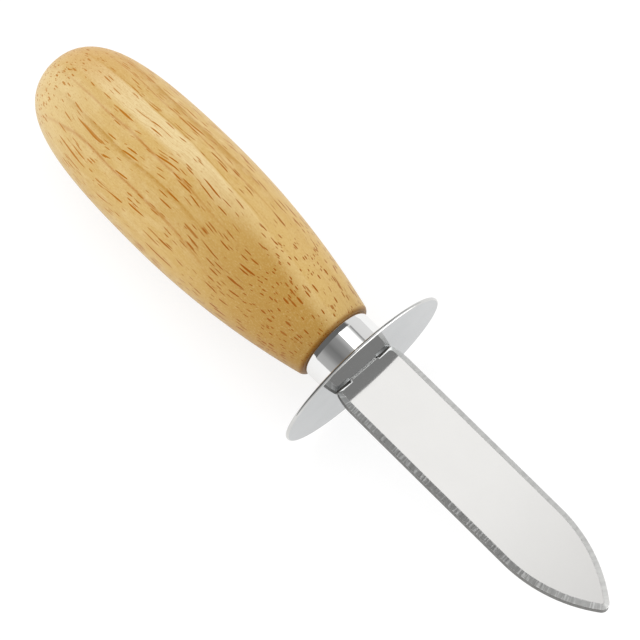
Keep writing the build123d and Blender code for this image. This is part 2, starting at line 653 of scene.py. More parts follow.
@dataclass(frozen=True)
class LacqueredWood:
    """Pale golden hardwood under a satin lacquer, with growth rings, a pale stripe and orange-brown pores.

    The rings are layers across y that lean a little towards the neck. Pores are long thin cells along x, so
    that they show as long dashes on the belly, as short ones where the neck tapers, and as dots on the butt.

    Places are in millimetres, and the scales of noise are waves to a millimetre. A Range holds two places, or
    two levels of a noise, and then the strengths at these two. Without them, the strength runs from 0 to 1.
    """

    seat: Seat
    joint_x: float
    tan: Color = tone(212, 178, 110)
    pale: Color = tone(231, 208, 156)
    deep: Color = tone(186, 138, 58)
    # Painted shade: this darker tone near the neck, strongest on the -y side, stands in for shade there
    neck_shade: Color = tone(181, 139, 64)
    # Colour of the painted shade on the butt's +y side
    butt_shade: Color = tone(208, 162, 92)
    ring_line: Color = tone(184, 122, 52)
    pore: Color = tone(158, 86, 0)
    rear_pore: Color = tone(182, 112, 8)
    # Painted shadow on the wood next to the ferrule
    joint_shadow: Color = tone(160, 98, 20)

    # The rings: how far they are drawn to both sides, and how they lean and wave
    ring_reach: float = 16.0
    lean: float = 0.04
    lean_start: float = 45.0
    lean_softness: float = 100.0
    wave_scale: Triple = (0.025, 0.07, 0.07)
    wave_height: float = 5.0

    # The grain, which sways, and the lighter and darker spots on it
    sway_scale: Triple = (0.04, 0.02, 0.02)
    sway_reach: Triple = (0.0, 6.0, 6.0)
    fibre_scale: Triple = (0.10, 4.0, 4.0)
    fibre_dark: Range = (0.35, 0.75, 0.0, 0.35)
    mottle_scale: Triple = (0.25, 0.5, 0.5)
    mottle_light: Range = (0.40, 0.75, 0.0, 0.35)
    fleck_scale: Triple = (2.2, 4.2, 4.2)
    fleck_light: Range = (0.48, 0.78, 0.0, 0.26)
    fleck_dark: Range = (0.46, 0.26, 0.0, 0.34)
    streak_scale: Triple = (0.012, 1.3, 1.3)
    streak_core: Range = (0.012, 0.0, 0.0, 0.45)
    streak_patches: Range = (0.42, 0.60)

    # Washes of colour, by their places along the handle and across it, some of them painted light and shade
    plain_butt: Range = (-76.0, -86.0, 0.0, 0.60)
    plain_neck: Range = (-50.0, -28.0, 0.0, 0.75)
    # Where the painted shade near the neck lies: along x, across the rings, and slanted along x on the -y
    # side
    neck_shade_along: Range = (-64.0, -18.0)
    neck_shade_across: Range = (3.6, -0.6, 0.08, 0.95)
    neck_shade_low_side: float = -9.0
    neck_shade_slant: float = 2.5
    # Painted light and shade on the butt: paler on its -y side and darker on its +y side, over this stretch
    # of x
    butt_wash: Range = (-66.0, -86.0, 0.0, 0.55)
    butt_light_side: Range = (0.0, -5.0)
    butt_dark_side: Range = (-3.0, 2.0)
    # Where the painted shadow next to the ferrule lies, in millimetres behind the joint, and its strengths
    joint_shadow_wash: Range = (-1.0, -0.1, 0.0, 0.60)

    large_pores: PoreCells = PoreCells(0.70, 14.0, 0.50)
    small_pores: PoreCells = PoreCells(0.50, 5.5, 0.62)
    pore_radius: Pair = (0.16, 0.36)
    pore_rim: Range = (-0.02, 0.06)
    pore_strength: Range = (0.0, 0.7, 0.75, 1.0)
    pore_fading: Range = (-80.0, -60.0, 0.85, 1.0)
    pore_darkening: Range = (-66.0, -30.0)

    satin: Range = (0.2, 0.8, 0.36, 0.46)
    fibre_height: float = 0.25
    relief_depth: float = 0.03 * MM
    relief_strength: float = 0.6

    def ring_place(self, bench: Bench, place: object) -> NodeSocket:
        """How far across the rings a point lies: y, leaning where x nears the neck, and waved.

        The lean is a share of a sum, so that it sets in gently: x from the start of the lean, plus the root
        of the square of that and a softness.

        Args:
            bench: The bench.
            place: Place in millimetres.

        Returns:
            The distance in millimetres.
        """
        x, y, _ = bench.axes(place)
        ahead = bench.math("ADD", x, self.lean_start)
        eased = bench.math("SQRT", bench.math("ADD", bench.times(ahead, ahead), self.lean_softness))
        lean = bench.times(bench.math("ADD", ahead, eased), self.lean)
        wave = bench.math("SUBTRACT", bench.noise(place, self.wave_scale), 0.5)
        return bench.math("ADD", bench.math("ADD", y, lean), bench.times(wave, self.wave_height))

    def ring_color(self, bench: Bench, across: object) -> NodeSocket:
        """The tan ground with its soft bands, the pale stripe and the thin ring lines.

        Args:
            bench: The bench.
            across: Distance across the rings in millimetres.

        Returns:
            The colour.
        """
        reach = self.ring_reach
        stops = [
            (-reach, self.tan),
            (-10.4, self.tan), (-10.0, self.ring_line), (-9.7, self.tan),
            (-7.2, self.tan), (-6.2, self.deep), (-6.0, self.tan),
            (-3.0, self.tan), (-2.6, self.ring_line), (-2.3, self.tan),
            (-0.9, self.tan), (0.3, self.pale), (3.2, self.pale),
            (3.6, self.tan), (3.8, self.deep), (4.0, self.tan),
            (6.4, self.tan), (6.7, self.ring_line), (6.9, self.tan), (9.2, self.deep), (9.4, self.tan),
            (reach, self.tan),
        ]
        shares = [((spot + reach) / (2 * reach), color) for spot, color in stops]
        return bench.ramp(bench.share(across, -reach, reach), shares)

    def pores(self, bench: Bench, place: object, size: PoreCells) -> NodeSocket:
        """Long thin cells along x: one pore in each, as wide as chance says, and none in some of them.

        Args:
            bench: The bench.
            place: Place in millimetres.
            size: The cells.

        Returns:
            From 0 to 1, how much of a pore there is.
        """
        cell = bench.scaled(place, (1 / size.length, 1 / size.width, 1 / size.width))
        inputs = {"Vector": cell, "Scale": 1.0, "Randomness": 1.0}
        cells = bench.node("ShaderNodeTexVoronoi", inputs, feature="F1", voronoi_dimensions="3D")
        chance = bench.axes(cells.outputs["Color"])
        radius = bench.band(chance[0], 0.0, 1.0, *self.pore_radius)
        inside = bench.math("SUBTRACT", radius, cells.outputs["Distance"])
        chosen = bench.math("LESS_THAN", chance[1], size.part)
        return bench.times(
            bench.band(inside, *self.pore_rim), chosen, bench.band(chance[2], *self.pore_strength)
        )

    def material(self) -> Material:
        """The finished wood: the rings, one wash of colour after another over them, and the pores on top.

        Returns:
            The material.
        """
        bench = Bench.for_material("handle_wood_lacquered")
        place = bench.millimetres(self.seat)
        x, y, _ = bench.axes(place)
        inputs = {"Vector": bench.scaled(place, self.sway_scale), "Scale": 1.0}
        sway = bench.node("ShaderNodeTexNoise", inputs).outputs["Color"]
        drift = bench.scaled(sway, self.sway_reach)
        grain_place = bench.node("ShaderNodeVectorMath", {0: place, 1: drift}, operation="ADD").outputs[0]

        across = self.ring_place(bench, place)
        fibre = bench.noise(grain_place, self.fibre_scale, detail=3.0)
        mottle = bench.noise(place, self.mottle_scale, detail=3.0)
        fleck = bench.noise(place, self.fleck_scale)
        low_side = bench.math("MAXIMUM", bench.math("SUBTRACT", self.neck_shade_low_side, y), 0.0)
        slanted_x = bench.math("SUBTRACT", x, bench.times(low_side, self.neck_shade_slant))
        butt = bench.band(x, *self.butt_wash)
        joint = self.joint_x / MM
        joint_start, joint_end, *joint_strengths = self.joint_shadow_wash
        # Some of these washes are painted light and shade: near the neck, on the butt and next to the ferrule
        washes = [
            (bench.band(x, *self.plain_butt), self.tan),
            (bench.band(fibre, *self.fibre_dark), self.deep),
            (bench.band(mottle, *self.mottle_light), self.pale),
            (bench.band(x, *self.plain_neck), self.tan),
            # Painted shade near the neck
            (
                bench.times(bench.band(slanted_x, *self.neck_shade_along), bench.band(across, *self.neck_shade_across)),
                self.neck_shade,
            ),
            # Painted light on the butt's -y side, then painted shade on its +y side
            (bench.times(butt, bench.band(y, *self.butt_light_side)), self.pale),
            (bench.times(butt, bench.band(y, *self.butt_dark_side)), self.butt_shade),
            (bench.band(fleck, *self.fleck_light), self.pale),
            (bench.band(fleck, *self.fleck_dark), self.ring_line),
            # Painted shadow on the wood next to the ferrule
            (bench.band(x, joint + joint_start, joint + joint_end, *joint_strengths), self.joint_shadow),
        ]
        ground = self.ring_color(bench, across)
        for share, color in washes:
            ground = bench.blend(share, ground, color)

        large, small = (self.pores(bench, grain_place, size) for size in (self.large_pores, self.small_pores))
        pores = bench.times(bench.math("MAXIMUM", large, small), bench.band(x, *self.pore_fading))
        streak = bench.apart(bench.noise(grain_place, self.streak_scale, detail=1.0), 0.5)
        streaks = bench.times(bench.band(streak, *self.streak_core), bench.band(mottle, *self.streak_patches))
        mark = bench.blend(bench.band(x, *self.pore_darkening), self.rear_pore, self.pore)
        bench.drive(Channel.COLOR, bench.blend(bench.math("MAXIMUM", pores, streaks), ground, mark))

        bench.drive(Channel.ROUGHNESS, bench.band(fibre, *self.satin))
        height = bench.math("SUBTRACT", bench.times(fibre, self.fibre_height), pores)
        bench.relief(height, self.relief_depth, self.relief_strength)
        bench.hold(coat_weight=0.12, coat_roughness=0.26, specular_ior_level=0.16)
        return bench.owner


@dataclass(frozen=True)
class PolishedSteel:
    """Stainless steel polished on a soft wheel: nearly a mirror, with faint lines along one way.

    Where it has a seam, half its width and half its height are given in millimetres. It is darkened there as
    painted shade of the narrow gap in front of it, which fades out over seam_fade more in both ways.
    """

    name: str
    seat: Seat
    color: Color
    shade: Color
    roughness: float = 0.06
    spread: float = 0.03
    line_scale: Triple = (0.4, 6.0, 6.0)
    line_share: float = 0.6
    line_depth: float = 0.0006 * MM
    line_strength: float = 0.15
    cloud_scale: Triple = (0.12, 0.15, 0.15)
    cloud_levels: Pair = (0.35, 0.7)
    rough_levels: Pair = (0.3, 0.7)
    seam: Pair | None = None
    seam_fade: Pair = (0.2, 0.15)
    # Colour of the painted shade in the seam
    gap_shade: Color = tone(58, 47, 36)

    def material(self) -> Material:
        """The finished metal.

        Returns:
            The material.
        """
        bench = Bench.for_material(self.name)
        place = bench.millimetres(self.seat)
        lines = bench.noise(place, self.line_scale, detail=4.0)
        cloud = bench.noise(place, self.cloud_scale)
        color = bench.blend(bench.band(cloud, *self.cloud_levels), self.color, self.shade)
        # Painted shade: the seam, where a narrow gap lies in front, is darkened
        if self.seam:
            ways = zip(bench.axes(place)[1:], self.seam, self.seam_fade)
            inside = [bench.band(bench.math("ABSOLUTE", off), half + fade, half) for off, half, fade in ways]
            color = bench.blend(bench.times(*inside), color, self.gap_shade)
        bench.drive(Channel.COLOR, color)
        cloud_share = 1 - self.line_share
        mixed = bench.math("ADD", bench.times(lines, self.line_share), bench.times(cloud, cloud_share))
        rough = bench.band(mixed, *self.rough_levels, self.roughness, self.roughness + self.spread)
        bench.drive(Channel.ROUGHNESS, rough)
        bench.relief(lines, self.line_depth, self.line_strength)
        bench.hold(metallic=1.0)
        return bench.owner


@dataclass(frozen=True)
class GroundSteel:
    """Steel left by a wheel or a shear: lines across the edge, some of them deep and in patches, and these
    painted bright as a glint.

    They are read from the edge's strip, in millimetres. Strength says where along it they weaken, which is
    round the nose of the blade, and how strong they are past that and before it.
    """

    name: str = "blade_steel_ground"
    color: Color = tone(221, 221, 219)
    line_color: Color = tone(209, 209, 207)
    # Painted glint: the colour of the scores, lighter than the steel round them
    bright: Color = tone(250, 250, 249)
    roughness: float = 0.38
    score_roughness: float = 0.12
    groove_depth: float = 0.09 * MM
    coarse_scale: Triple = (1.1, 0.15, 1.0)
    coarse_levels: Pair = (0.42, 0.60)
    coarse_share: float = 0.4
    fine_scale: Triple = (2.2, 0.22, 1.0)
    fine_levels: Pair = (0.50, 0.60)
    patch_scale: Triple = (0.30, 0.2, 1.0)
    patch_levels: Pair = (0.25, 0.50)
    strength: Range = (79.8, 75.8, 0.08, 1.0)

    def material(self) -> Material:
        """The finished metal.

        Returns:
            The material.
        """
        bench = Bench.for_material(self.name)
        strip = bench.node("ShaderNodeUVMap", uv_map=EDGE_STRIP).outputs[0]
        strip = bench.scaled(strip, (1 / MM, 1 / MM, 1 / MM))
        coarse = bench.noise(strip, self.coarse_scale)
        fine = bench.noise(strip, self.fine_scale, detail=1.0)
        patch = bench.noise(strip, self.patch_scale)
        strong = bench.band(bench.axes(strip)[0], *self.strength)
        ground = bench.blend(bench.band(coarse, *self.coarse_levels), self.color, self.line_color)
        in_patch = bench.band(patch, *self.patch_levels)
        scores = bench.times(bench.band(fine, *self.fine_levels), in_patch, strong)
        # Painted glint on the scores, which are also rougher
        bench.drive(Channel.COLOR, bench.blend(scores, ground, self.bright))
        rough = self.roughness + self.score_roughness
        bench.drive(Channel.ROUGHNESS, bench.band(scores, 0.0, 1.0, self.roughness, rough))
        fine_share = 1 - self.coarse_share
        height = bench.math("ADD", bench.times(coarse, self.coarse_share), bench.times(fine, fine_share))
        bench.relief(bench.times(height, strong), self.groove_depth)
        bench.hold(metallic=1.0)
        return bench.owner


@dataclass(frozen=True)
class CuredEpoxy:
    """Dull, slightly mottled adhesive."""

    seat: Seat
    color: Color = tone(184, 168, 133)
    shade: Color = tone(166, 148, 112)
    mottle_scale: Triple = (0.8, 0.8, 0.8)
    shade_levels: Pair = (0.35, 0.65)
    roughness: Range = (0.3, 0.7, 0.55, 0.7)

    def material(self) -> Material:
        """The finished adhesive.

        Returns:
            The material.
        """
        bench = Bench.for_material("tang_epoxy_cured")
        mottle = bench.noise(bench.millimetres(self.seat), self.mottle_scale, detail=3.0)
        shaded = bench.band(mottle, *self.shade_levels)
        bench.drive(Channel.COLOR, bench.blend(shaded, self.color, self.shade))
        bench.drive(Channel.ROUGHNESS, bench.band(mottle, *self.roughness))
        return bench.owner


# The knife's pieces


@dataclass
class Handle:
    """The turned handle, from its butt to the tenon that the ferrule covers, with the hole for the tang."""

    seat: Seat
    joint_x: float
    butt_x: float
    tenon_end_x: float
    belly_radius: float
    belly_setback: float = 43.5 * MM
    neck_radius: float = 9.2 * MM
    neck_edge_radius: float = 1.1 * MM
    butt_fullness: float = 0.84
    rear_fullness: float = 0.66
    tenon_back_radius: float = 7.75 * MM
    tenon_end_radius: float = 7.55 * MM
    bore_radius: float = 3.97 * MM
    bore_end_x: float = -38.0 * MM
    drill_cone_depth: float = 2.4 * MM
    edge_break: float = 0.05 * MM

    def butt_curve(self, steps: int = 48) -> Outline:
        """The rear of the handle as a cubic curve.

        With s from 0 to 1, a point is the sum of the four control points times (1-s)^3, 3s(1-s)^2, 3s^2(1-s)
        and s^3. The normal is square to the slope, the same sum of the differences times (1-s)^2, 2s(1-s) and
        s^2.

        Args:
            steps: Number of steps from the butt to the belly.

        Returns:
            The curve as x and radius.
        """
        belly_x = self.joint_x - self.belly_setback
        ends = np.array([
            (self.butt_x, 0.0),
            (self.butt_x, self.butt_fullness * self.belly_radius),
            (belly_x - self.rear_fullness * (belly_x - self.butt_x), self.belly_radius),
            (belly_x, self.belly_radius),
        ])
        s = np.linspace(0.0, 1.0, steps + 1)[:, None]
        weights = np.hstack([(1 - s) ** 3, 3 * s * (1 - s) ** 2, 3 * s**2 * (1 - s), s**3])
        slope = np.hstack([(1 - s) ** 2, 2 * s * (1 - s), s**2]) @ np.diff(ends, axis=0)
        slope /= np.linalg.norm(slope, axis=1)[:, None]
        return Outline(weights @ ends, np.column_stack([-slope[:, 1], slope[:, 0]]))

    def profile(self) -> Outline:
        """Half the section: over the belly, the neck and the tenon, and into the bottom of the hole.

        The solid lies on the right of this way, so the normals of its rounded stretch are turned about.

        Returns:
            The section as x and radius, from the butt on.
        """
        belly_x = self.joint_x - self.belly_setback
        radius = arc_radius(self.belly_setback, self.belly_radius - self.neck_radius)
        circle = (belly_x, self.belly_radius - radius, radius)
        corner, touch = touching_corner(circle, self.joint_x, self.neck_edge_radius, side=1)
        front = arc(circle[:2], radius, pi / 2, touch, steps=40)
        edge = arc(corner, self.neck_edge_radius, touch, 0.0, steps=8)
        rest = [
            (self.joint_x, corner[1]),
            (self.joint_x, self.tenon_back_radius),
            (self.tenon_end_x, self.tenon_end_radius),
            (self.tenon_end_x, self.bore_radius),
            (self.bore_end_x, self.bore_radius),
            (self.bore_end_x - self.drill_cone_depth, 0.0),
        ]
        inside = rounded(rest, [self.edge_break] * 4, steps=2)
        inside = Outline(inside.points, -inside.normals)
        return joined(self.butt_curve(), front, edge, inside)

    def build(self) -> Object:
        """The piece in its place.

        Returns:
            The new object.
        """
        finish = LacqueredWood(self.seat, self.joint_x).material()
        piece = make_piece("turned_handle", turned(self.profile(), steps=128), self.seat, [finish])
        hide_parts("handle")
        return piece


@dataclass
class TangSlot:
    """The slot for the tang through the guard and the closed end of the ferrule."""

    width: float = 7.5 * MM
    height: float = 2.4 * MM

    def seen_from(self, edge: Outline) -> Outline:
        """The slot's outline with a point for each point of an edge round it.

        Each point lies where the ray from the middle to the edge point leaves the slot: the ray shrunk by the
        larger of its two shares of the slot's half sizes.

        Args:
            edge: Closed outline round the slot.

        Returns:
            The slot's outline.
        """
        half = np.array([self.width / 2, self.height / 2])
        reach = np.max(np.abs(edge.points) / half, axis=1)
        return Outline(edge.points / reach[:, None], edge.normals)


@dataclass
class Guard:
    """The oval guard with a tumbled rim and a short flat in the middle of each long side.

    A row of faces belongs to the rim where the normals of its two edges, added up, point forwards or back by
    less than rim_facing. The seam is half the width and half the height of the painted shade behind the
    blade's shoulders, in millimetres.
    """

    seat: Seat
    half_width: float
    half_height: float
    thickness: float
    flat_length: float = 5.0 * MM
    rim_radius: float = 0.38 * MM
    rim_facing: float = 1.9
    face_row_depth: float = 2.28 * MM
    # Painted shade of the gap behind the blade's shoulders
    seam: Pair = (7.4, 0.75)
    slot: TangSlot = field(default_factory=TangSlot)

    def edge(self, steps: int = 288) -> Outline:
        """The oval: half width times the cosine and half height times the sine of an angle, with its flats.

        Args:
            steps: Number of points round it.

        Returns:
            The closed outline as y and z.
        """
        high = self.half_height / sqrt(1 - (self.flat_length / 2 / self.half_width) ** 2)
        angle = np.linspace(0.0, 2 * pi, steps, endpoint=False)
        y, z = self.half_width * np.cos(angle), high * np.sin(angle)
        normals = np.column_stack([y / self.half_width**2, z / high**2])
        cut = np.abs(z) > self.half_height
        normals[cut] = np.column_stack([np.zeros(cut.sum()), z[cut]])
        z = np.clip(z, -self.half_height, self.half_height)
        return Outline(np.column_stack([y, z]), normals / np.linalg.norm(normals, axis=1)[:, None])

    def section(self) -> Outline:
        """The plate's section, from the front rim of the slot to the back one.

        Returns:
            The section as x and depth from the rim.
        """
        deep, back = self.face_row_depth, -self.thickness
        corners = [(0.0, deep), (0.0, 0.0), (back, 0.0), (back, deep)]
        return with_hole_rows(rounded(corners, [self.rim_radius] * 2, steps=7))

    def build(self) -> Object:
        """The piece in its place.

        Returns:
            The new object.
        """
        edge, section = self.edge(), self.section()
        skin = pierced(edge, self.slot.seen_from(edge), section)
        facing = section.normals[:, 0]
        rim = np.abs(facing + np.roll(facing, -1)) < self.rim_facing
        rim[-1] = False
        skin.finish = np.repeat(rim.astype(int), len(edge.points))
        lines = (6.0, 0.5, 6.0)
        face = PolishedSteel(
            "guard_steel_polished", self.seat, tone(182, 184, 185), tone(179, 181, 182), line_scale=lines,
            seam=self.seam,
        ).material()
        bright = PolishedSteel(
            "guard_steel_rim", self.seat, tone(208, 208, 206), tone(203, 203, 201), line_scale=lines
        ).material()
        piece = make_piece("oval_guard", skin, self.seat, [face, bright])
        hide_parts("guard")
        return piece


@dataclass
class Ferrule:
    """The drawn cup between handle and guard, with round corners at its closed end and a bent-in lip."""

    seat: Seat
    joint_x: float
    front_x: float
    back_radius: float
    front_radius: float = 8.2 * MM
    wall: float = 0.6 * MM
    inside_radius: float = 0.3 * MM
    lip_length: float = 1.25 * MM
    lip_depth: float = 0.2 * MM
    lip_bend_radius: float = 5.0 * MM
    lip_radius: float = 0.2 * MM
    edge_break: float = 0.05 * MM
    slot: TangSlot = field(default_factory=TangSlot)

    def section(self) -> Outline:
        """The cup's section, from the slot over the outside and back to the slot.

        Returns:
            The section as x and depth from the widest circle.
        """
        slope = self.back_radius - self.front_radius
        lip_start = slope * self.lip_length / (self.front_x - self.joint_x)
        middle = self.back_radius / 2
        corners = [
            (self.front_x, middle),
            (self.front_x, slope),
            (self.joint_x + self.lip_length, lip_start),
            (self.joint_x, self.lip_depth),
            (self.joint_x, self.wall),
            (self.front_x - self.wall, slope + self.wall),
            (self.front_x - self.wall, middle),
        ]
        closed_end = self.inside_radius + self.wall
        radii = [closed_end, self.lip_bend_radius, self.lip_radius, self.edge_break, self.inside_radius]
        return with_hole_rows(rounded(corners, radii, steps=8))

    def build(self) -> Object:
        """The piece in its place.

        Returns:
            The new object.
        """
        edge = arc((0.0, 0.0), self.back_radius, 0.0, 2 * pi, steps=160)
        edge = Outline(edge.points[:-1], edge.normals[:-1])
        skin = pierced(edge, self.slot.seen_from(edge), self.section())
        finish = PolishedSteel(
            "ferrule_steel_polished", self.seat, tone(236, 236, 235), tone(234, 234, 233), roughness=0.05,
            line_scale=(6.0, 0.6, 0.6),
        ).material()
        piece = make_piece("ferrule_cup", skin, self.seat, [finish])
        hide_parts("ferrule")
        return piece


@dataclass
class Blade:
    """The blade with its bevels, its shoulders and the tang, cut from one plate.

    The edge along the shoulders is only broken, as far as shoulder_round. Over the tang the break shrinks to
    the part least_break of that, and it grows to its full size over the length break_fade on both sides.
    """

    seat: Seat
    reach: float
    half_width: float
    half_thickness: float
    tang_end_x: float
    shoulder_x: float = 0.12 * MM
    root_narrowing: float = 0.75 * MM
    face_narrowing: float = 0.30 * MM
    root_flare_length: float = 4.5 * MM
    tip_side_radius: float = 33.0 * MM
    tip_nose_radius: float = 1.5 * MM
    bevel_width: float = 1.1 * MM
    bevel_depth: float = 0.4 * MM
    shoulder_round: float = 0.55 * MM
    least_break: float = 0.25
    break_fade: float = 0.6 * MM
    edge_corner_radius: float = 0.35 * MM
    flat_corner_radius: float = 0.7 * MM
    face_corner_radius: float = 0.3 * MM
    land_corner_radius: float = 0.12 * MM
    tang_half_width: float = 3.65 * MM
    tang_half_thickness: float = 1.1 * MM
    tang_end_radius: float = 2.4 * MM
    tang_overlap: float = 1.0 * MM

    def half_outline(
        self, inwards: float, narrowing: float, shoulder_x: float, corner_radius: float
    ) -> Outline:
        """Half an outline: nose arc, tip arc, side, flare arc, corner arc and shoulder, each from the last.

        The blade's edge and the outline of its flats are both such curves. The arcs of the flat's outline
        have the same centres as those of the edge, and their radii are smaller by the width of the bevel.
        Only its flare is its own, because the bevel runs out a little towards the shoulders.

        Args:
            inwards: How far the curve lies inside the edge.
            narrowing: How much it narrows at the shoulders.
            shoulder_x: Place of its shoulders.
            corner_radius: Radius of its shoulder corners.

        Returns:
            The curve on the +y side, from the nose to the middle of the shoulders.
        """
        low = self.half_width - self.tip_side_radius
        nose_x = self.reach - self.tip_nose_radius
        between = self.tip_side_radius - self.tip_nose_radius
        tip_start_x = nose_x - sqrt(between**2 - low**2)
        nose_turn = atan2(-low, nose_x - tip_start_x)
        flare_x = self.shoulder_x + self.root_flare_length
        flare_radius = arc_radius(self.root_flare_length, narrowing)
        flare = (flare_x, self.half_width - flare_radius, flare_radius - inwards)
        corner, touch = touching_corner(flare, shoulder_x, corner_radius, side=-1)
        side_y = self.half_width - inwards
        return joined(
            arc((nose_x, 0.0), self.tip_nose_radius - inwards, 0.0, nose_turn, steps=10),
            arc((tip_start_x, low), self.tip_side_radius - inwards, nose_turn, pi / 2, steps=24),
            straight((tip_start_x, side_y), (flare_x, side_y), steps=16),
            arc(flare[:2], flare[2], pi / 2, touch, steps=10),
            arc(corner, corner_radius, touch, pi, steps=8),
            straight((shoulder_x, corner[1]), (shoulder_x, 0.0), steps=24),
        )

    def outline(self, *half_shape: float) -> Outline:
        """The closed curve of two such halves, anticlockwise from the middle of the shoulders.

        Args:
            half_shape: What half_outline takes, in its order.

        Returns:
            The closed curve.
        """
        half = self.half_outline(*half_shape)
        whole = joined(half.mirrored(), half)
        return Outline(whole.points[:-1], whole.normals[:-1])

    def blank(self) -> Skin:
        """The blade proper: its edge is bevelled all round, and only broken along the shoulders.

        How far the edge faces back, squared, says how much of the bevel gives way to the break. The edge
        counts as ground where less than half of it does.

        Returns:
            The closed surface.
        """
        edge = self.outline(0.0, self.root_narrowing, self.shoulder_x, self.edge_corner_radius)
        face_shoulder_x = self.shoulder_x + self.shoulder_round
        face = self.outline(self.bevel_width, self.face_narrowing, face_shoulder_x, self.flat_corner_radius)
        facing_back = np.clip(-edge.normals[:, 0], 0, 1) ** 2
        beside = (np.abs(edge.points[:, 1]) - self.tang_half_width) / self.break_fade
        broken = np.clip(beside, self.least_break, 1.0)
        share = 1 - facing_back * (1 - broken)
        plan = edge.points + share[:, None] * (face.points - edge.points)
        depth = self.bevel_depth * (1 - facing_back) + self.shoulder_round * facing_back * broken
        section = EdgeSection(self.half_thickness, self.face_corner_radius, self.land_corner_radius)
        return slab(edge, plan, depth, section, facing_back < 0.5)

    def tang(self) -> Skin:
        """The tang: a bar with a rounded end that starts inside the blade.

        Returns:
            The closed surface.
        """
        half, back, front = self.tang_half_width, self.tang_end_x, self.shoulder_x + self.tang_overlap
        turn = self.tang_end_radius
        edge = joined(
            arc((front - turn, half - turn), turn, 0.0, pi / 2, steps=6),
            arc((back + turn, half - turn), turn, pi / 2, pi, steps=8),
            arc((back + turn, turn - half), turn, pi, 3 * pi / 2, steps=8),
            arc((front - turn, turn - half), turn, 3 * pi / 2, 2 * pi, steps=6),
        )
        soft, count = self.land_corner_radius, len(edge.points)
        section = EdgeSection(self.tang_half_thickness, soft, soft / 2)
        return slab(edge, edge.inset(soft), np.full(count, soft / 2), section, np.zeros(count, bool))

    def build(self) -> Object:
        """The piece in its place.

        Returns:
            The new object.
        """
        flat = PolishedSteel(
            "blade_steel_polished", self.seat, tone(209, 208, 206), tone(208, 207, 205), spread=0.01,
            line_scale=(0.25, 5.0, 5.0),
        ).material()
        # The land's darker colour is partly a dull sheared edge and partly painted shade of the shadow under
        # the blade, which it mirrors
        land = GroundSteel(
            "blade_steel_sheared_and_shaded", tone(114, 113, 110), tone(104, 103, 100), tone(130, 129, 126),
            roughness=0.35, score_roughness=0.2, groove_depth=0.04 * MM,
        ).material()
        skin = self.blank().with_other(self.tang())
        piece = make_piece("ground_blade", skin, self.seat, [flat, GroundSteel().material(), land])
        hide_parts("blade")
        return piece


# Table, light and camera


